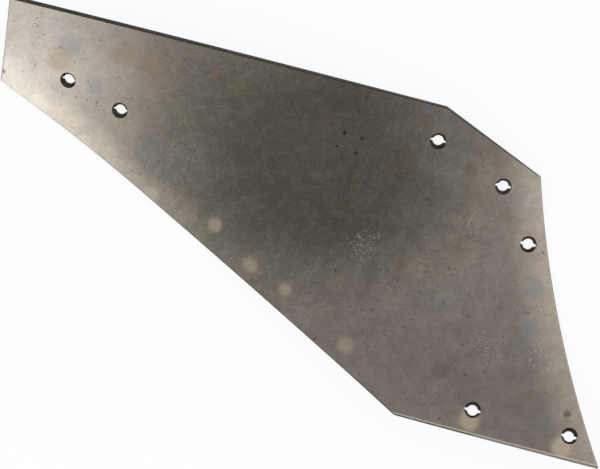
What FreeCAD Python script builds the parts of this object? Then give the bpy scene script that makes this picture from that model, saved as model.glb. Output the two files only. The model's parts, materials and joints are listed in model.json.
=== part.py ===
# Right-hand plough mouldboard: one plate, blanked, pressed to a saddle-shaped
# curve, and pierced with seven countersunk holes for two-nib plough bolts.
# It lies on its rounded back, with the hollow working face up. Millimetres.
import FreeCAD, Part
import math
import os
import Sketcher

doc = FreeCAD.newDocument("mouldboard_model")
sizes = doc.addObject("Spreadsheet::Sheet", "sizes")

# Every driving size. A name that starts with "calc" is worked out from the
# others. "fore" is a distance back from the point of the plate, "aft" one from
# its tail end, "drop" one below the top edge, "rise" one above the share edge.
size_rows = [
    # blank, seen from above
    ("plate_length", "837.2"),
    ("plate_width", "381.8"),
    ("plate_thickness", "8"),
    ("tail_end_length", "103.8"),
    ("top_edge_fall", "1.5"),
    ("top_edge_radius", "29000"),
    ("share_edge_length", "257.8"),
    ("shin_run", "155"),
    ("shin_hollow_radius", "1345"),
    ("chamfer_run", "131.4"),
    ("chamfer_drop", "56.4"),
    ("bend_aft", "121"),
    ("bend_inset", "7.8"),
    ("bend_radius", "2500"),
    ("edge_break", "0.8"),
    ("centre_shift", "-0.52"),
    # pressed curve: a hollow across the plate, and a slight arch along it
    ("hollow_radius", "655"),
    ("arch_radius", "2030"),
    ("curve_skew", "14.1"),
    ("saddle_aft", "489.2"),
    ("saddle_drop", "209.3"),
    ("saddle_height", "21.661"),
    ("sheet_margin", "40"),
    # one bolt hole
    ("bore_radius", "6.75"),
    ("mouth_radius", "10.2"),
    ("nib_reach", "10.1"),
    ("nib_tip_half_width", "1.3"),
    ("nib_root_half_width", "4.2"),
    ("cutter_overrun", "5"),
    # places of the bolt holes
    ("tail_rear_aft", "86.7"),
    ("tail_rear_drop", "81.9"),
    ("tail_front_aft", "158"),
    ("tail_front_drop", "102.7"),
    ("shin_top_fore", "287.5"),
    ("shin_top_drop", "43.4"),
    ("shin_middle_fore", "196.5"),
    ("shin_middle_drop", "78.7"),
    ("shin_low_fore", "148.7"),
    ("shin_low_drop", "140.9"),
    ("share_rear_fore", "165.4"),
    ("share_rear_rise", "28.9"),
    ("share_front_fore", "42.9"),
    ("share_front_rise", "27.3"),
    # worked out
    ("calc_tail", "=-plate_length / 2"),
    ("calc_point", "=plate_length / 2"),
    ("calc_top", "=centre_shift + plate_width / 2"),
    ("calc_foot", "=centre_shift - plate_width / 2"),
    ("calc_shin_along", "=calc_point - shin_run"),
    ("calc_shin_across", "=calc_top - chamfer_drop"),
    ("calc_chamfer_along", "=calc_shin_along - chamfer_run"),
    ("calc_chamfer_across", "=calc_top - top_edge_fall"),
    ("calc_heel_along", "=calc_point - share_edge_length"),
    ("calc_tail_foot", "=calc_top - tail_end_length"),
    ("calc_bend_along", "=calc_tail + bend_aft"),
    ("calc_bend_across",
     "=calc_tail_foot + bend_inset"
     " + (calc_foot - calc_tail_foot) * bend_aft / (calc_heel_along - calc_tail)"),
    ("calc_saddle_along", "=calc_tail + saddle_aft"),
    ("calc_saddle_across", "=calc_top - saddle_drop"),
    ("calc_half_sheet", "=plate_width * 0.75 + sheet_margin"),
    ("calc_half_turn", "=asin((plate_length * 0.65 + sheet_margin) / arch_radius)"),
]

hole_names = [
    "tail_rear", "tail_front", "shin_top", "shin_middle", "shin_low",
    "share_rear", "share_front",
]


def fill_sheet(rows, first_row):
    for offset, (name, value) in enumerate(rows):
        cell = "B%d" % (first_row + offset)
        sizes.set("A%d" % (first_row + offset), name)
        sizes.set(cell, value)
        sizes.setAlias(cell, name)


# Plan position of a hole, then the two turns that carry a cutter from the
# saddle point to the hole, square to the pressed face.
def hole_rows(name):
    from_tail = name.startswith("tail")
    on_share = name.startswith("share")
    along = "calc_tail + %s_aft" % name if from_tail else "calc_point - %s_fore" % name
    across = "calc_foot + %s_rise" % name if on_share else "calc_top - %s_drop" % name
    side, ahead = "calc_%s_side" % name, "calc_%s_ahead" % name
    off_x, off_y = "(%s - calc_saddle_along)" % along, "(%s - calc_saddle_across)" % across
    skew_cos, skew_sin = "cos(curve_skew * 1deg)", "sin(curve_skew * 1deg)"
    roll = "calc_%s_roll" % name
    return [
        (ahead, "=%s * %s + %s * %s" % (off_x, skew_cos, off_y, skew_sin)),
        (side, "=%s * %s - %s * %s" % (off_y, skew_cos, off_x, skew_sin)),
        (roll, "=asin(%s / hollow_radius)" % side),
        ("calc_%s_turn" % name,
         "=asin(%s / (arch_radius + hollow_radius * (1 - cos(%s))))" % (ahead, roll)),
    ]


fill_sheet(size_rows, 1)
next_row = 1 + len(size_rows)
for hole_name in hole_names:
    fill_sheet(hole_rows(hole_name), next_row)
    next_row = next_row + 4
doc.recompute()


def size(name):
    return float(sizes.get(name))


def bind(feature, **formulas):
    for path, formula in formulas.items():
        feature.setExpression(path.replace("__", "."), formula)


def make(kind, name, **formulas):
    feature = doc.addObject(kind, name)
    bind(feature, **formulas)
    return feature


def point(along, across):
    return FreeCAD.Vector(along, across, 0)


# The frame of the pressed curve: its origin is the saddle point.
saddle_frame = (
    "placement(vector(sizes.calc_saddle_along; sizes.calc_saddle_across; "
    "sizes.saddle_height); rotation(vector(0; 0; 1); sizes.curve_skew))"
)
upright = "placement(vector(0; 0; 0); rotation(vector(0; 0; 1); 90)) * " \
          "placement(vector(0; 0; 0); rotation(vector(1; 0; 0); 90))"


# Hollow of the pressed face, as one arc through the saddle point.
def hollow_arc():
    sketch = make("Sketcher::SketchObject", "hollow_arc", Placement=saddle_frame + " * " + upright)
    radius, half = size("hollow_radius"), size("calc_half_sheet")
    height = radius - (radius ** 2 - half ** 2) ** 0.5
    arc = Part.Arc(point(-half, height), point(0, 0), point(half, height))
    sketch.addGeometry(arc, False)
    sketch.addConstraint(Sketcher.Constraint("PointOnObject", 0, 3, -2))
    sketch.addConstraint(Sketcher.Constraint("Radius", 0, radius))
    sketch.renameConstraint(1, "radius")
    sketch.addConstraint(Sketcher.Constraint("DistanceY", -1, 1, 0, 3, radius))
    sketch.renameConstraint(2, "centre_height")
    sketch.addConstraint(Sketcher.Constraint("DistanceX", 0, 1, 0, 2, 2 * half))
    sketch.renameConstraint(3, "span")
    sketch.addConstraint(Sketcher.Constraint("Symmetric", 0, 1, 0, 2, -2))
    bind(sketch, Constraints__radius="sizes.hollow_radius",
         Constraints__centre_height="sizes.hollow_radius",
         Constraints__span="2 * sizes.calc_half_sheet")
    return sketch


# The arc is swung about a level line below the plate, which arches it.
def pressed_sheet(section):
    sheet = make(
        "Part::Revolution", "pressed_sheet",
        Base__x="sizes.calc_saddle_along", Base__y="sizes.calc_saddle_across",
        Base__z="sizes.saddle_height - sizes.arch_radius",
        Axis__x="-sin(sizes.curve_skew * 1deg)", Axis__y="cos(sizes.curve_skew * 1deg)",
        Angle="2 * sizes.calc_half_turn",
    )
    sheet.Source = section
    sheet.Axis = FreeCAD.Vector(0, 1, 0)
    sheet.Symmetric = True
    sheet.Solid = False
    return sheet


# Centre of the shallow arc from the first point to the second that hollows
# the edge of the blank, with the blank on its right hand side reversed.
def arc_between(first, last, radius, bulge_side):
    middle = (first + last) * 0.5
    chord = last - first
    reach = (radius ** 2 - (chord.Length / 2) ** 2) ** 0.5
    across = FreeCAD.Vector(-chord.y, chord.x, 0).normalize()
    centre = middle + across * (reach * bulge_side)
    circle = Part.Circle(centre, FreeCAD.Vector(0, 0, 1), radius)
    return Part.ArcOfCircle(circle, circle.parameter(first), circle.parameter(last))


# Outline of the blank seen from above. Its corners run from the top of the
# tail end, along the top edge, down the shin to the point, back along the
# share edge to the heel, and up the long rear edge, which has a soft bend.
def blank_outline():
    sketch = make("Sketcher::SketchObject", "blank_outline")
    tail_top = point(size("calc_tail"), size("calc_top"))
    chamfer = point(size("calc_chamfer_along"), size("calc_chamfer_across"))
    shin = point(size("calc_shin_along"), size("calc_shin_across"))
    tip = point(size("calc_point"), size("calc_foot"))
    heel = point(size("calc_heel_along"), size("calc_foot"))
    bend = point(size("calc_bend_along"), size("calc_bend_across"))
    tail_foot = point(size("calc_tail"), size("calc_tail_foot"))

    to_heel = (heel - bend).normalize()
    to_tail = (tail_foot - bend).normalize()
    turn = (-to_heel).getAngle(to_tail)
    reach = size("bend_radius") * math.tan(turn / 2)
    bend_start = bend + to_heel * reach
    bend_end = bend + to_tail * reach

    top_edge = sketch.addGeometry(arc_between(chamfer, tail_top, size("top_edge_radius"), 1), False)
    chamfer_edge = sketch.addGeometry(Part.LineSegment(chamfer, shin), False)
    shin_edge = sketch.addGeometry(arc_between(shin, tip, size("shin_hollow_radius"), 1), False)
    share_edge = sketch.addGeometry(Part.LineSegment(tip, heel), False)
    rear_edge = sketch.addGeometry(Part.LineSegment(heel, bend_start), False)
    bend_edge = sketch.addGeometry(
        arc_between(bend_start, bend_end, size("bend_radius"), 1), False)
    tail_side = sketch.addGeometry(Part.LineSegment(bend_end, tail_foot), False)
    tail_end = sketch.addGeometry(Part.LineSegment(tail_foot, tail_top), False)
    bend_mark = sketch.addGeometry(Part.Point(bend), True)

    sketch.addConstraint(Sketcher.Constraint("Coincident", top_edge, 1, chamfer_edge, 1))
    ring = [chamfer_edge, shin_edge, share_edge, rear_edge]
    for before, after in zip(ring, ring[1:]):
        sketch.addConstraint(Sketcher.Constraint("Coincident", before, 2, after, 1))
    sketch.addConstraint(Sketcher.Constraint("Tangent", rear_edge, 2, bend_edge, 1))
    sketch.addConstraint(Sketcher.Constraint("Tangent", bend_edge, 2, tail_side, 1))
    sketch.addConstraint(Sketcher.Constraint("Coincident", tail_side, 2, tail_end, 1))
    sketch.addConstraint(Sketcher.Constraint("Coincident", tail_end, 2, top_edge, 2))
    sketch.addConstraint(Sketcher.Constraint("PointOnObject", bend_mark, 1, rear_edge))
    sketch.addConstraint(Sketcher.Constraint("PointOnObject", bend_mark, 1, tail_side))

    corners = [
        ("tail_top", top_edge, 2, "calc_tail", "calc_top"),
        ("chamfer", chamfer_edge, 1, "calc_chamfer_along", "calc_chamfer_across"),
        ("shin", shin_edge, 1, "calc_shin_along", "calc_shin_across"),
        ("tip", share_edge, 1, "calc_point", "calc_foot"),
        ("heel", rear_edge, 1, "calc_heel_along", "calc_foot"),
        ("bend", bend_mark, 1, "calc_bend_along", "calc_bend_across"),
        ("tail_foot", tail_end, 1, "calc_tail", "calc_tail_foot"),
    ]
    for name, edge, end, along, across in corners:
        bind_distance(sketch, "DistanceX", edge, end, name + "_along", along)
        bind_distance(sketch, "DistanceY", edge, end, name + "_across", across)
    bind_radius(sketch, top_edge, "top_radius", "top_edge_radius")
    bind_radius(sketch, shin_edge, "shin_radius", "shin_hollow_radius")
    bind_radius(sketch, bend_edge, "rear_radius", "bend_radius")
    return sketch


def bind_distance(sketch, kind, edge, end, name, source):
    index = sketch.addConstraint(Sketcher.Constraint(kind, -1, 1, edge, end, size(source)))
    sketch.renameConstraint(index, name)
    sketch.setExpression("Constraints." + name, "sizes." + source)


def bind_radius(sketch, edge, name, source):
    index = sketch.addConstraint(Sketcher.Constraint("Radius", edge, size(source)))
    sketch.renameConstraint(index, name)
    sketch.setExpression("Constraints." + name, "sizes." + source)


# The blank is cut from the pressed face, then thickened toward its back, so
# every edge of the plate stands square to the curve.
def plain_plate(sheet, outline):
    prism = make("Part::Extrusion", "blank_prism", LengthFwd="sizes.plate_length",
                 LengthRev="sizes.plate_length")
    prism.Base = outline
    prism.DirMode = "Custom"
    prism.Dir = FreeCAD.Vector(0, 0, 1)
    prism.Solid = True
    face = make("Part::Common", "working_face")
    face.Base = sheet
    face.Tool = prism
    plate = make("Part::Offset", "plain_plate", Value="-sizes.plate_thickness")
    plate.Source = face
    plate.Mode = "Skin"
    plate.Fill = True
    return plate


# Numbers of the edges around the working face: of the two ring-shaped faces
# it is the upper one.
def working_rim(shape):
    rings = [face for face in shape.Faces if face.Surface.TypeId == "Part::GeomToroid"]
    working = max(rings, key=lambda face: face.CenterOfMass.z)
    return [
        number for number, edge in enumerate(shape.Edges, 1)
        if any(edge.isSame(other) for other in working.Edges)
    ]


# The rim of the working face has its sharp corner taken off all round.
def eased_plate(plate):
    eased = make("Part::Chamfer", "eased_plate")
    eased.Base = plate
    width = size("edge_break")
    eased.Edges = [(number, width, width) for number in working_rim(plate.Shape)]
    return eased


# Carries a cutter from the saddle point to a hole: first rolled up the side
# of the hollow, then swung along the arch, then turned so the nibs lie
# along the top edge.
def hole_frame(name):
    roll, turn = "sizes.calc_%s_roll" % name, "sizes.calc_%s_turn" % name
    steps = [
        saddle_frame,
        "placement(vector(0; 0; -sizes.arch_radius); rotation(vector(0; 1; 0); %s))" % turn,
        "placement(vector(0; 0; sizes.arch_radius + sizes.hollow_radius);"
        " rotation(vector(1; 0; 0); %s))" % roll,
        "placement(vector(0; 0; -sizes.hollow_radius);"
        " rotation(vector(0; 0; 1); -sizes.curve_skew))",
    ]
    return " * ".join(steps)


# One bolt hole: a square-cornered cone for the bolt head, a round bore, and a
# notch on each side of the bore for the two nibs under the head.
def hole_cutter(name):
    frame = hole_frame(name)
    past = "sizes.cutter_overrun"
    depth = "sizes.mouth_radius - sizes.bore_radius"
    bore = make(
        "Part::Cylinder", name + "_bore", Radius="sizes.bore_radius",
        Height="sizes.plate_thickness + 2 * " + past,
        Placement=frame + " * placement(vector(0; 0; -sizes.plate_thickness - %s);"
        " rotation(vector(0; 0; 1); 0))" % past,
    )
    mouth = make(
        "Part::Cone", name + "_mouth", Radius1="sizes.bore_radius",
        Radius2="sizes.mouth_radius + " + past, Height="%s + %s" % (depth, past),
        Placement=frame + " * placement(vector(0; 0; sizes.bore_radius - sizes.mouth_radius);"
        " rotation(vector(0; 0; 1); 0))",
    )
    parts = [bore, mouth]
    for side, heading in (("front", 90), ("rear", -90)):
        nib = make(
            "Part::Wedge", "%s_nib_%s" % (name, side),
            Xmin="-sizes.nib_root_half_width", Xmax="sizes.nib_root_half_width",
            X2min="-sizes.nib_tip_half_width", X2max="sizes.nib_tip_half_width",
            Ymin="0", Ymax="sizes.nib_reach",
            Zmin="-sizes.plate_thickness - " + past, Zmax=past,
            Z2min="-sizes.plate_thickness - " + past, Z2max=past,
            Placement=frame + " * placement(vector(0; 0; 0);"
            " rotation(vector(0; 0; 1); %d))" % heading,
        )
        parts.append(nib)
    cutter = make("Part::MultiFuse", name + "_cutter")
    cutter.Shapes = parts
    return cutter


def check(features):
    for feature in features:
        if "Invalid" in feature.State or "Error" in feature.State:
            raise RuntimeError("%s did not rebuild: %s" % (feature.Name, feature.State))
        shape = getattr(feature, "Shape", None)
        if shape is not None and (shape.isNull() or not shape.isValid()):
            raise RuntimeError("%s has no sound shape" % feature.Name)


outline = blank_outline()
plate = plain_plate(pressed_sheet(hollow_arc()), outline)
doc.recompute()
eased = eased_plate(plate)
cutters = make("Part::MultiFuse", "hole_cutters")
cutters.Shapes = [hole_cutter(name) for name in hole_names]
mouldboard = make("Part::Cut", "mouldboard")
mouldboard.Base = eased
mouldboard.Tool = cutters
doc.recompute()
check(doc.Objects)

os.makedirs("parts", exist_ok=True)
mouldboard.Label = "mouldboard"
mouldboard.Shape.exportStep("parts/mouldboard.step")
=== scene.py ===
import json
import math

import bmesh
import bpy
import numpy as np
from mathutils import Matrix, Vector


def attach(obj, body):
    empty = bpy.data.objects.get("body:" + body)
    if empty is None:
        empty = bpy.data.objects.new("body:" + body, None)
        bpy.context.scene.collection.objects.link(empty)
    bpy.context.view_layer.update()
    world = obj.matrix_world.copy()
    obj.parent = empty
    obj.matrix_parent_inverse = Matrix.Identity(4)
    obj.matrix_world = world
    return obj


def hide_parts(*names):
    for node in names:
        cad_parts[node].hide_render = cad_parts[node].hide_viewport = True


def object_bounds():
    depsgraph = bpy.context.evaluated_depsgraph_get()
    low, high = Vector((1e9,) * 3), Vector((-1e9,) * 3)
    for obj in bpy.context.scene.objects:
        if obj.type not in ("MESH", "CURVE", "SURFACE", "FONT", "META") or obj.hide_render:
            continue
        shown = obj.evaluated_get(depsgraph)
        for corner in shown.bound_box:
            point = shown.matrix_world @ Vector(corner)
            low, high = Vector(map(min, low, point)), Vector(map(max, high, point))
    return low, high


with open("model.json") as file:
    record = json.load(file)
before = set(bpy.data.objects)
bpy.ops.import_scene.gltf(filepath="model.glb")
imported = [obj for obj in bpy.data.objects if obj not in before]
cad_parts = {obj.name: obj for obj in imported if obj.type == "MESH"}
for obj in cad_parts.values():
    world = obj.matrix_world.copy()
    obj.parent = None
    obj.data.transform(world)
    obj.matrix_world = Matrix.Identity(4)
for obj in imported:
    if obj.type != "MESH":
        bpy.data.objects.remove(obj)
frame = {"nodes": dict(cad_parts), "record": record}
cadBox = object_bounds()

# A plough mouldboard of bare steel plate, lying on its rounded back with the working face up.
# Lengths are in metres. +X runs from the tail to the share end, +Y from the share edge to the top edge.

scene = bpy.context.scene
scene.view_settings.view_transform = "Standard"


# Short ways to lay out shader nodes: each returns the socket that the next node reads.
def addNode(tree, kind, **settings):
    node = tree.nodes.new(kind)
    for name, value in settings.items():
        setattr(node, name, value)
    return node


def feed(tree, target, source):
    # a socket is linked, and anything else is written on the input
    if isinstance(source, bpy.types.NodeSocket):
        tree.links.new(source, target)
    elif source is not None:
        target.default_value = source


def calc(tree, operation, first, second=None, third=None, clamp=False):
    node = addNode(tree, "ShaderNodeMath", operation=operation, use_clamp=clamp)
    for socket, value in zip(node.inputs, (first, second, third)):
        feed(tree, socket, value)
    return node.outputs[0]


def rise(tree, value, start, end, low=0.0, high=1.0):
    # goes smoothly from low to high while value goes from start to end
    node = addNode(tree, "ShaderNodeMapRange", interpolation_type="SMOOTHSTEP")
    for socket, setting in zip(node.inputs, (value, start, end, low, high)):
        feed(tree, socket, setting)
    return node.outputs[0]


def mixed(tree, share, first, second, blend="MIX"):
    node = addNode(tree, "ShaderNodeMix", data_type="RGBA", blend_type=blend, clamp_factor=True)
    feed(tree, node.inputs[0], share)
    feed(tree, node.inputs[6], first)
    feed(tree, node.inputs[7], second)
    return node.outputs[2]


def placed(tree, place, shift=(0, 0, 0), turn=0.0, scale=(1, 1, 1), kind="POINT"):
    node = addNode(tree, "ShaderNodeMapping", vector_type=kind)
    feed(tree, node.inputs["Vector"], place)
    feed(tree, node.inputs["Location"], shift)
    feed(tree, node.inputs["Rotation"], (0, 0, turn))
    feed(tree, node.inputs["Scale"], scale)
    return node.outputs[0]


def noise(tree, place, scale, detail=4.0, roughness=0.55, distortion=0.0):
    node = addNode(tree, "ShaderNodeTexNoise", normalize=True)
    feed(tree, node.inputs["Vector"], place)
    feed(tree, node.inputs["Scale"], scale)
    feed(tree, node.inputs["Detail"], detail)
    feed(tree, node.inputs["Roughness"], roughness)
    feed(tree, node.inputs["Distortion"], distortion)
    return node.outputs[0]


plateForm = {
    "hollowRadius": 0.655,  # across the working face
    "archRadius": 2.030,  # along it
    "thickness": 0.008,
    "skew": 14.1,  # degrees from the length to the arch
    "saddlePoint": (0.0706, -0.01892, 0.021661),
    "rimAngle": 25.0,  # degrees: a sharper corner than this stays crisp
    "weldDistance": 0.000005,  # corners closer than this are one
    "depthSlack": 0.00003,  # how far a corner of a broad face may be from its depth
    "boltReach": 0.0115,  # faces nearer than this to a bolt's axis belong to its hole
}


def sheetNormals(points):
    # The pressed sheet is part of a ring-shaped tube: a hollow of hollowRadius whose centre
    # runs round a circle of hollowRadius + archRadius. A point's normal looks at the nearest
    # point of that circle. Its depth under the working face is its distance to that point,
    # less hollowRadius.
    turn = math.radians(plateForm["skew"])
    circleRadius = plateForm["hollowRadius"] + plateForm["archRadius"]
    offset = points - np.array(plateForm["saddlePoint"])
    along = offset[:, 0] * math.cos(turn) + offset[:, 1] * math.sin(turn)
    across = offset[:, 1] * math.cos(turn) - offset[:, 0] * math.sin(turn)
    height = offset[:, 2] + plateForm["archRadius"]
    reach = np.hypot(along, height)
    outward = circleRadius - reach
    lookAlong = along / reach * outward
    look = np.stack([
        lookAlong * math.cos(turn) + across * math.sin(turn),
        lookAlong * math.sin(turn) - across * math.cos(turn),
        height / reach * outward,
    ], axis=1)
    distance = np.linalg.norm(look, axis=1)
    return look / distance[:, None], distance - plateForm["hollowRadius"]


def dressedPlate(node, bolts):
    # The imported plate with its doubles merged. Both broad faces take the pressed sheet's own
    # normals, so that light runs over them without facets.
    mesh = node.data.copy()
    plate = bpy.data.objects.new("dressedPlate", mesh)
    scene.collection.objects.link(plate)
    mesh.materials.clear()

    shell = bmesh.new()
    shell.from_mesh(mesh)
    bmesh.ops.remove_doubles(shell, verts=shell.verts, dist=plateForm["weldDistance"])
    shell.to_mesh(mesh)
    shell.free()

    corners = np.zeros(len(mesh.vertices) * 3)
    mesh.vertices.foreach_get("co", corners)
    corners = corners.reshape(-1, 3)
    normals, depths = sheetNormals(corners)
    triangles = np.zeros(len(mesh.polygons) * 3, int)
    mesh.loops.foreach_get("vertex_index", triangles)
    triangles = triangles.reshape(-1, 3)
    slack = plateForm["depthSlack"]
    onFront = (np.abs(depths[triangles]) < slack).all(axis=1)
    onBack = (np.abs(depths[triangles] - plateForm["thickness"]) < slack).all(axis=1)
    centres = corners[triangles].mean(axis=1)
    inBore = np.zeros(len(centres), bool)
    for bolt in bolts:
        axis = np.array(bolt["axis"])
        away = centres - np.array(bolt["pos_m"])
        away = away - np.outer(away @ axis, axis)
        inBore |= np.linalg.norm(away, axis=1) < plateForm["boltReach"]
    # material slots: 0 working face, 1 back, 2 cut edge, 3 bolt hole
    kinds = np.where(onFront, 0, np.where(onBack, 1, np.where(inBore, 3, 2)))
    mesh.polygons.foreach_set("material_index", kinds)
    mesh.polygons.foreach_set("use_smooth", np.ones(len(kinds), bool))
    mesh.set_sharp_from_angle(angle=math.radians(plateForm["rimAngle"]))
    shading = np.zeros(len(mesh.loops) * 3)
    mesh.corner_normals.foreach_get("vector", shading)
    shading = shading.reshape(-1, 3, 3)
    shading[onFront] = normals[triangles[onFront]]
    shading[onBack] = -normals[triangles[onBack]]
    mesh.normals_split_custom_set(shading.reshape(-1, 3).tolist())
    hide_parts(node.name)
    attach(plate, "root")
    return plate


outlineLines = {  # a point on each edge and the way out of the plate, seen from above
    "tailEnd": ((-0.4186, 0.13), (-1.0, 0.0)),
    "topEdge": ((-0.15, 0.1915), (0.0, 1.0)),
    "cutCorner": ((0.198, 0.1625), (0.387, 0.922)),
    "shareEdge": ((0.29, -0.1914), (0.0, -1.0)),
    "rearEdge": ((-0.06, -0.0815), (-0.452, -0.892)),
    "tailSide": ((-0.36, 0.0595), (-0.383, -0.924)),
}
shinArc = {"centre": (1.5595, 0.5535), "radius": 1.3616}
wearLook = {  # noise scales
    "cloud": 11.0,
    "bend": 38.0,
    "bendReach": 0.018,  # metres that the bend moves the mottle
    "mottle": 55.0,
    "squiggle": 75.0,
    "grain": 620.0,
}


def plateGroup():
    # The one group that every face of the plate reads: its place, how far it is from each
    # edge, and three sizes of uneven wear. The edge distances and place also set where painted shade and
    # painted highlights go.
    tree = bpy.data.node_groups.new("plateWearAndLight", "ShaderNodeTree")
    for name in ("Edge", "Shin", "Rear", "Cloud", "Mottle", "Grain", "Squiggle", "Along", "Across"):
        tree.interface.new_socket(name=name, in_out="OUTPUT", socket_type="NodeSocketFloat")
    result = addNode(tree, "NodeGroupOutput")
    place = addNode(tree, "ShaderNodeTexCoord").outputs["Object"]
    axes = addNode(tree, "ShaderNodeSeparateXYZ")
    feed(tree, axes.inputs[0], place)
    inward = {}
    for name, (start, out) in outlineLines.items():
        level = start[0] * out[0] + start[1] * out[1]
        part = calc(tree, "MULTIPLY_ADD", axes.outputs[0], -out[0], level)
        inward[name] = calc(tree, "MULTIPLY_ADD", axes.outputs[1], -out[1], part)
    centreX, centreY = shinArc["centre"]
    centre = placed(tree, place, shift=(-centreX, -centreY, 0), scale=(1, 1, 0))
    reach = addNode(tree, "ShaderNodeVectorMath", operation="LENGTH")
    feed(tree, reach.inputs[0], centre)
    shin = calc(tree, "SUBTRACT", reach.outputs["Value"], shinArc["radius"])
    rear = calc(tree, "MINIMUM", inward["rearEdge"], inward["tailSide"])
    edge = calc(tree, "MINIMUM", inward["tailEnd"], inward["shareEdge"])
    edge = calc(tree, "MINIMUM", edge, shin)
    bent = noise(tree, place, wearLook["bend"], 3.0, 0.6)
    warp = addNode(tree, "ShaderNodeVectorMath", operation="MULTIPLY_ADD")
    feed(tree, warp.inputs[0], bent)
    feed(tree, warp.inputs[1], (wearLook["bendReach"],) * 3)
    feed(tree, warp.inputs[2], place)
    warped = warp.outputs["Vector"]
    # thin lines run where this noise is half way up
    lines = noise(tree, warped, wearLook["squiggle"], 2.0, 0.5, 0.6)
    ridge = calc(tree, "ABSOLUTE", calc(tree, "SUBTRACT", lines, 0.5))
    outputs = {
        "Edge": edge, "Shin": shin, "Rear": rear,
        "Cloud": noise(tree, placed(tree, place, scale=(1, 1.3, 1)), wearLook["cloud"], 5.0, 0.6, 0.4),
        "Mottle": noise(tree, warped, wearLook["mottle"], 6.0, 0.68),
        "Grain": noise(tree, place, wearLook["grain"], 5.0, 0.75),
        "Squiggle": rise(tree, ridge, 0.012, 0.05, 1.0, 0.0),
        "Along": axes.outputs[0], "Across": axes.outputs[1],
    }
    for name, value in outputs.items():
        feed(tree, result.inputs[name], value)
    return tree


plateWearAndLight = plateGroup()


def wearAndLightNodes(tree):
    node = addNode(tree, "ShaderNodeGroup", node_tree=plateWearAndLight)
    return node.outputs


def steelMaterial(name, metallic):
    material = bpy.data.materials.new(name)
    material.use_nodes = True
    tree = material.node_tree
    shader = tree.nodes["Principled BSDF"]
    shader.inputs["Metallic"].default_value = metallic
    return material, tree, shader, wearAndLightNodes(tree)


def grey(tree, value):
    node = addNode(tree, "ShaderNodeCombineColor")
    for socket in node.inputs:
        feed(tree, socket, value)
    return node.outputs[0]


def textured(tree, shader, height, depth, strength=1.0):
    bump = addNode(tree, "ShaderNodeBump")
    bump.inputs["Strength"].default_value = strength
    bump.inputs["Distance"].default_value = depth
    feed(tree, bump.inputs["Height"], height)
    feed(tree, shader.inputs["Normal"], bump.outputs[0])


faceLook = {
    "darkPlace": (-0.012, 0.085),  # middle of the dark field: dark patina with painted shade
    "darkReach": (0.240, 0.190),
    # dark patina with painted shade in the middle field, and wear with painted sheen round it
    "shadeAndPatinaTone": 0.074,
    "sheenAndWearTone": 0.200,
    "tailSheenAndWear": 0.38,  # added toward the tail end: wear with painted sheen
    "shinSheenAndWear": 0.16,  # added by the shin edge: wear with painted sheen
    "rearSheenAndWear": 0.15,  # added by the rear edge: wear with painted sheen
    "footShare": 0.82,  # what is left of the tone by the share edge
    "topShare": 0.78,  # and by the top edge
    "metallic": 0.93,
    "darkRoughness": 0.40,
    "wornRoughness": 0.46,
}

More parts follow.
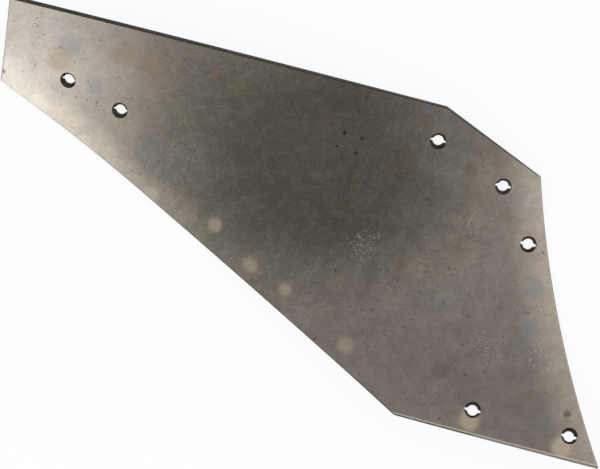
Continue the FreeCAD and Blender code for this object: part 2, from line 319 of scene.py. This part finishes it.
markLook = {
    # small marks: middle, half width, colour, strength
    "marks": [
        ((0.0171, 0.1299), 0.0030, (0.012, 0.011, 0.010), 0.85),
        ((0.0402, 0.1269), 0.0030, (0.012, 0.011, 0.010), 0.85),
        ((0.0128, 0.1110), 0.0028, (0.014, 0.012, 0.010), 0.75),
        ((0.0367, 0.1082), 0.0028, (0.014, 0.012, 0.010), 0.75),
        ((0.0338, 0.1775), 0.0026, (0.030, 0.026, 0.022), 0.6),
        ((0.0292, 0.1584), 0.0026, (0.030, 0.026, 0.022), 0.6),
        ((-0.4171, 0.0999), 0.0040, (0.20, 0.07, 0.04), 0.8),
        ((0.1228, -0.0135), 0.0090, (0.16, 0.085, 0.045), 0.45),
        ((0.1032, 0.1161), 0.0060, (0.15, 0.085, 0.050), 0.4),
        ((-0.1520, 0.1601), 0.0070, (0.20, 0.12, 0.080), 0.4),
        ((0.0838, 0.0921), 0.0050, (0.15, 0.085, 0.050), 0.4),
        ((-0.2969, 0.1112), 0.0140, (0.22, 0.25, 0.29), 0.35),
        ((-0.3357, 0.1523), 0.0170, (0.24, 0.27, 0.31), 0.35),
        ((0.1077, 0.1815), 0.0080, (0.12, 0.14, 0.17), 0.4),
        ((-0.0583, -0.0603), 0.0110, (0.42, 0.36, 0.27), 0.5),
        ((-0.0081, -0.0793), 0.0100, (0.42, 0.36, 0.27), 0.5),
        ((-0.1129, -0.0227), 0.0110, (0.44, 0.38, 0.29), 0.5),
        ((-0.2018, -0.0069), 0.0110, (0.50, 0.44, 0.35), 0.5),
        ((0.0812, -0.1260), 0.0120, (0.40, 0.34, 0.25), 0.5),
        ((0.2520, -0.1755), 0.0150, (0.50, 0.42, 0.30), 0.6),
        ((0.3700, -0.1795), 0.0160, (0.52, 0.44, 0.32), 0.6),
        ((0.3666, -0.1398), 0.0060, (0.045, 0.035, 0.030), 0.6),
        ((-0.0045, 0.1464), 0.0130, (0.10, 0.065, 0.060), 0.4),
        ((0.2024, -0.1262), 0.0140, (0.15, 0.10, 0.10), 0.4),
        ((-0.1122, -0.0031), 0.0040, (0.10, 0.13, 0.18), 0.6),
        ((0.1773, 0.1218), 0.0100, (0.13, 0.085, 0.055), 0.4),
        ((0.1091, 0.1684), 0.0090, (0.13, 0.085, 0.055), 0.4),
        ((0.2328, 0.0780), 0.0110, (0.20, 0.14, 0.09), 0.4),
        ((0.2918, -0.0033), 0.0140, (0.20, 0.23, 0.27), 0.35),
        ((0.2979, -0.0524), 0.0140, (0.20, 0.23, 0.27), 0.35),
        ((0.1998, 0.0635), 0.0060, (0.24, 0.24, 0.23), 0.5),
        ((-0.1196, 0.1555), 0.0110, (0.13, 0.12, 0.06), 0.4),
        ((-0.2330, 0.1525), 0.0200, (0.22, 0.16, 0.11), 0.4),
        ((-0.3457, 0.1309), 0.0180, (0.36, 0.27, 0.19), 0.4),
        ((-0.2657, 0.1570), 0.0180, (0.26, 0.19, 0.13), 0.4),
    ],
    # fields of light freckles: middle, half width
    "freckles": [
        ((0.0748, 0.0), 0.030),
        ((0.2561, -0.0878), 0.028),
        ((0.3188, -0.0849), 0.028),
        ((0.2001, 0.0571), 0.026),
    ],
    "ragged": 0.006,  # metres that the outline of a mark wanders
    "pitColour": (0.030, 0.026, 0.021, 1),
    "freckleColour": (0.42, 0.39, 0.33, 1),
    # the colour of the painted highlight along the rim
    "rimHighlightColour": (0.55, 0.51, 0.44, 1),
}


def discMask(tree, place, middle, reach, sharp=0.45):
    # one inside the disc, falling smoothly to nothing just past its reach
    scale = 1 / reach
    flat = placed(tree, place, shift=(-middle[0] * scale, -middle[1] * scale, 0), scale=(scale, scale, 0))
    away = addNode(tree, "ShaderNodeVectorMath", operation="LENGTH")
    feed(tree, away.inputs[0], flat)
    return rise(tree, away.outputs["Value"], sharp, 1.15, 1.0, 0.0)


def faceMaterial():
    material, tree, shader, wearAndLight = steelMaterial("workingFace", faceLook["metallic"])
    place = addNode(tree, "ShaderNodeTexCoord").outputs["Object"]
    reachX, reachY = faceLook["darkReach"]
    middleX, middleY = faceLook["darkPlace"]
    flat = placed(tree, place, shift=(-middleX / reachX, -middleY / reachY, 0),
                  scale=(1 / reachX, 1 / reachY, 0))
    away = addNode(tree, "ShaderNodeVectorMath", operation="LENGTH")
    feed(tree, away.inputs[0], flat)
    # The tone is patina and wear with painted light in it: painted shade over the middle field, painted
    # sheen toward the tail, shin and rear edges, and darker by the share and top edges.
    cloudy = calc(tree, "MULTIPLY_ADD", wearAndLight["Cloud"], 0.45, -0.225)
    far = calc(tree, "ADD", away.outputs["Value"], cloudy)
    tone = rise(tree, far, 0.30, 1.15, faceLook["shadeAndPatinaTone"], faceLook["sheenAndWearTone"])
    toTail = calc(tree, "MULTIPLY_ADD", wearAndLight["Cloud"], 0.06, calc(tree, "ADD", wearAndLight["Along"], -0.03))
    tail = rise(tree, toTail, -0.41, -0.19, 1.0, 0.0)
    tone = calc(tree, "MULTIPLY_ADD", tail, faceLook["tailSheenAndWear"], tone)
    byShin = rise(tree, wearAndLight["Shin"], 0.0, 0.055, 1.0, 0.0)
    tone = calc(tree, "MULTIPLY_ADD", byShin, faceLook["shinSheenAndWear"], tone)
    rear = calc(tree, "MULTIPLY", rise(tree, wearAndLight["Rear"], 0.0, 0.034, 1.0, 0.0),
                rise(tree, wearAndLight["Along"], -0.26, -0.08, faceLook["rearSheenAndWear"], 0.015))
    tone = calc(tree, "MULTIPLY", calc(tree, "ADD", tone, rear),
                rise(tree, wearAndLight["Across"], -0.14, 0.0, faceLook["footShare"], 1.0))
    tone = calc(tree, "MULTIPLY", tone,
                rise(tree, wearAndLight["Across"], 0.11, 0.19, 1.0, faceLook["topShare"]))
    # uneven wear multiplies the tone
    tone = calc(tree, "MULTIPLY", tone, rise(tree, wearAndLight["Mottle"], 0.28, 0.72, 0.89, 1.11))
    tone = calc(tree, "MULTIPLY", tone, rise(tree, wearAndLight["Grain"], 0.25, 0.75, 0.90, 1.10))
    squiggle = calc(tree, "MULTIPLY", wearAndLight["Squiggle"], rise(tree, far, 0.5, 1.3, 0.20, 0.05))
    tone = calc(tree, "MULTIPLY", tone, calc(tree, "ADD", squiggle, 1.0))
    # warm away from the dark field, olive in the dark field, pinkish by the tail
    tint = mixed(tree, rise(tree, far, 0.4, 1.2), (1.08, 1.0, 0.80, 1), (1.15, 1.0, 0.85, 1))
    tint = mixed(tree, tail, tint, (1.08, 1.0, 0.88, 1))
    cool = noise(tree, placed(tree, place, shift=(3, 1, 0)), 16.0, 4.0, 0.6)
    tint = mixed(tree, rise(tree, cool, 0.52, 0.75, 0.0, 0.40), tint, (0.98, 1.0, 1.02, 1))
    brown = noise(tree, placed(tree, place, shift=(7, 4, 0)), 21.0, 5.0, 0.65)
    tint = mixed(tree, rise(tree, brown, 0.55, 0.75, 0.0, 0.35), tint, (1.22, 1.0, 0.74, 1))
    colour = mixed(tree, 1.0, tint, grey(tree, tone), "MULTIPLY")
    # small dark pits, and light freckles in a few fields
    pits = noise(tree, placed(tree, place, shift=(1, 9, 0)), 260.0, 2.0, 0.5)
    pitted = calc(tree, "MULTIPLY", rise(tree, pits, 0.64, 0.70),
                  rise(tree, wearAndLight["Cloud"], 0.42, 0.60, 0.10, 0.55))
    colour = mixed(tree, pitted, colour, markLook["pitColour"])
    specks = noise(tree, placed(tree, place, shift=(5, 2, 0)), 330.0, 2.0, 0.5)
    field = 0.0
    for middle, reach in markLook["freckles"]:
        field = calc(tree, "MAXIMUM", discMask(tree, place, middle, reach, 0.2), field)
    freckled = calc(tree, "MULTIPLY", rise(tree, specks, 0.58, 0.66),
                    calc(tree, "MULTIPLY", field, 0.6))
    colour = mixed(tree, freckled, colour, markLook["freckleColour"])
    # the marks, with their outlines made uneven
    uneven = addNode(tree, "ShaderNodeVectorMath", operation="MULTIPLY_ADD")
    ragged = addNode(tree, "ShaderNodeTexNoise")
    feed(tree, ragged.inputs["Vector"], place)
    feed(tree, ragged.inputs["Scale"], 140.0)
    feed(tree, uneven.inputs[0], ragged.outputs["Color"])
    wander = markLook["ragged"]
    feed(tree, uneven.inputs[1], (wander, wander, 0.0))
    feed(tree, uneven.inputs[2], placed(tree, place, shift=(-wander / 2, -wander / 2, 0)))
    for middle, reach, paint, strength in markLook["marks"]:
        mask = calc(tree, "MULTIPLY", discMask(tree, uneven.outputs[0], middle, reach), strength)
        colour = mixed(tree, mask, colour, (*paint, 1))
    # a bright, thin line along the rim of the working face: a painted highlight where light catches the
    # edge
    paintedRimHighlight = rise(tree, wearAndLight["Edge"], 0.0012, 0.0034, 0.75, 0.0)
    colour = mixed(tree, paintedRimHighlight, colour, markLook["rimHighlightColour"])
    feed(tree, shader.inputs["Base Color"], colour)
    rough = rise(tree, far, 0.4, 1.2, faceLook["darkRoughness"], faceLook["wornRoughness"])
    rough = calc(tree, "MULTIPLY_ADD", calc(tree, "SUBTRACT", wearAndLight["Mottle"], 0.5), 0.25, rough)
    feed(tree, shader.inputs["Roughness"], rough)
    relief = calc(tree, "MULTIPLY_ADD", wearAndLight["Grain"], 0.25, calc(tree, "MULTIPLY", wearAndLight["Mottle"], 0.9))
    relief = calc(tree, "MULTIPLY_ADD", wearAndLight["Cloud"], 1.4, relief)
    textured(tree, shader, relief, 0.0006)
    return material


otherLook = {  # two colours for each: the back's and the bolt hole's are mixed by wear, with the bolt hole's both darkened as painted shade; the rim's are a painted highlight and painted shade
    "back": ((0.030, 0.026, 0.023, 1), (0.085, 0.055, 0.038, 1)),
    "rim": ((0.16, 0.15, 0.13, 1), (0.020, 0.018, 0.016, 1)),
    "rimRust": (0.09, 0.055, 0.035, 1),
    "hole": ((0.020, 0.018, 0.016, 1), (0.050, 0.042, 0.034, 1)),
}


def backMaterial():
    # dull mill scale with rust breaking through
    material, tree, shader, wearAndLight = steelMaterial("plateBack", 0.4)
    uneven = calc(tree, "ADD", wearAndLight["Cloud"], calc(tree, "MULTIPLY", wearAndLight["Mottle"], 0.5))
    rust = rise(tree, uneven, 0.72, 0.92)
    scale, rusty = otherLook["back"]
    colour = mixed(tree, rust, scale, rusty)
    grained = mixed(tree, 1.0, colour, grey(tree, wearAndLight["Grain"]), "MULTIPLY")
    colour = mixed(tree, 0.35, colour, grained)
    feed(tree, shader.inputs["Base Color"], colour)
    feed(tree, shader.inputs["Roughness"], rise(tree, rust, 0.0, 1.0, 0.5, 0.8))
    textured(tree, shader, calc(tree, "ADD", wearAndLight["Mottle"], wearAndLight["Grain"]), 0.0005)
    return material


def rimMaterial():
    # sheared steel: bright with a painted highlight by the share, shin and tail, dark with painted shade
    # along the top and rear edges
    material, tree, shader, wearAndLight = steelMaterial("cutEdge", 0.8)
    bright, dark = otherLook["rim"]
    top = rise(tree, wearAndLight["Across"], 0.125, 0.150)
    shade = calc(tree, "MAXIMUM", top, rise(tree, wearAndLight["Rear"], 0.002, 0.008, 1.0, 0.0))
    colour = mixed(tree, shade, bright, dark)
    rust = rise(tree, wearAndLight["Mottle"], 0.45, 0.7, 0.0, 0.4)
    colour = mixed(tree, rust, colour, otherLook["rimRust"])
    feed(tree, shader.inputs["Base Color"], colour)
    shader.inputs["Roughness"].default_value = 0.5
    textured(tree, shader, calc(tree, "ADD", wearAndLight["Mottle"], wearAndLight["Grain"]), 0.0003)
    return material


def holeMaterial():
    material, tree, shader, wearAndLight = steelMaterial("boltHole", 0.7)
    # the bore walls are near black: painted shade inside the bolt hole, mottled by the wear noise
    shadedBore, shadedWornBore = otherLook["hole"]
    colour = mixed(tree, rise(tree, wearAndLight["Mottle"], 0.4, 0.65), shadedBore, shadedWornBore)
    feed(tree, shader.inputs["Base Color"], colour)
    shader.inputs["Roughness"].default_value = 0.55
    textured(tree, shader, wearAndLight["Grain"], 0.0002)
    return material


plate = dressedPlate(frame["nodes"]["mouldboard"], frame["record"]["mounts"])
for build in (faceMaterial, backMaterial, rimMaterial, holeMaterial):
    plate.data.materials.append(build())
print("plate dressed")

floorLook = {
    "size": 8.0,
    "below": 0.0002,  # under the plate's lowest point
    "colour": (0.9, 0.9, 0.9, 1.0),
    "seenWhite": 0.9,  # share of even white that the camera and the steel see
}


def paleFloor():
    # A plain floor. What the camera and the steel see of it is mostly an even white,
    # and the rest of it is lit, so that the plate keeps its shadow.
    half = floorLook["size"] / 2
    mesh = bpy.data.meshes.new("floor")
    level = cadBox[0][2] - floorLook["below"]
    corners = [(-half, -half, level), (half, -half, level), (half, half, level), (-half, half, level)]
    mesh.from_pydata(corners, [], [(0, 1, 2, 3)])
    floor = bpy.data.objects.new("floor", mesh)
    scene.collection.objects.link(floor)
    material = bpy.data.materials.new("paleFloor")
    material.use_nodes = True
    tree = material.node_tree
    tree.nodes.clear()
    path = addNode(tree, "ShaderNodeLightPath")
    seen = calc(tree, "MAXIMUM", path.outputs["Is Camera Ray"], path.outputs["Is Glossy Ray"])
    seen = calc(tree, "MAXIMUM", seen, path.outputs["Is Transmission Ray"])
    lit = addNode(tree, "ShaderNodeBsdfDiffuse")
    feed(tree, lit.inputs["Color"], floorLook["colour"])
    even = addNode(tree, "ShaderNodeEmission")
    even.inputs["Strength"].default_value = 1.0
    mix = addNode(tree, "ShaderNodeMixShader")
    feed(tree, mix.inputs[0], calc(tree, "MULTIPLY", seen, floorLook["seenWhite"]))
    feed(tree, mix.inputs[1], lit.outputs[0])
    feed(tree, mix.inputs[2], even.outputs[0])
    feed(tree, addNode(tree, "ShaderNodeOutputMaterial").inputs[0], mix.outputs[0])
    mesh.materials.append(material)
    return floor


paleFloor()
print("floor laid")

studio = {
    "overhead": 0.25,  # the dome's strength straight above
    "around": 1.15,  # and from the sides
    "dimMiddle": (-0.02, 0.05),  # where the dim part lies, by the way one looks
    "dimReach": (0.45, 0.95),  # and how far it reaches
}


def softStudio():
    # A dome that is dim overhead and pale all round.
    world = bpy.data.worlds.new("softStudio")
    scene.world = world
    world.use_nodes = True
    tree = world.node_tree
    way = addNode(tree, "ShaderNodeTexCoord").outputs["Generated"]
    reachX, reachY = studio["dimReach"]
    middleX, middleY = studio["dimMiddle"]
    flat = placed(tree, way, shift=(-middleX / reachX, -middleY / reachY, 0),
                  scale=(1 / reachX, 1 / reachY, 0))
    away = addNode(tree, "ShaderNodeVectorMath", operation="LENGTH")
    feed(tree, away.inputs[0], flat)
    strength = rise(tree, away.outputs["Value"], 0.0, 1.0, studio["overhead"], studio["around"])
    feed(tree, tree.nodes["Background"].inputs["Strength"], strength)
    feed(tree, tree.nodes["Background"].inputs["Color"], (1, 1, 1, 1))


softStudio()

cameraLook = {
    "lens": 120.0,
    "place": (0.14272, 0.25516, 2.48281),
    "turn": (-5.068, 4.826, 13.870),  # degrees
}


def mainCamera():
    data = bpy.data.cameras.new("mainCamera")
    data.lens = cameraLook["lens"]
    data.sensor_width = 36.0
    data.clip_end = 50.0
    camera = bpy.data.objects.new("mainCamera", data)
    camera.location = cameraLook["place"]
    camera.rotation_euler = [math.radians(a) for a in cameraLook["turn"]]
    scene.collection.objects.link(camera)
    scene.camera = camera


mainCamera()
print("light and camera set")
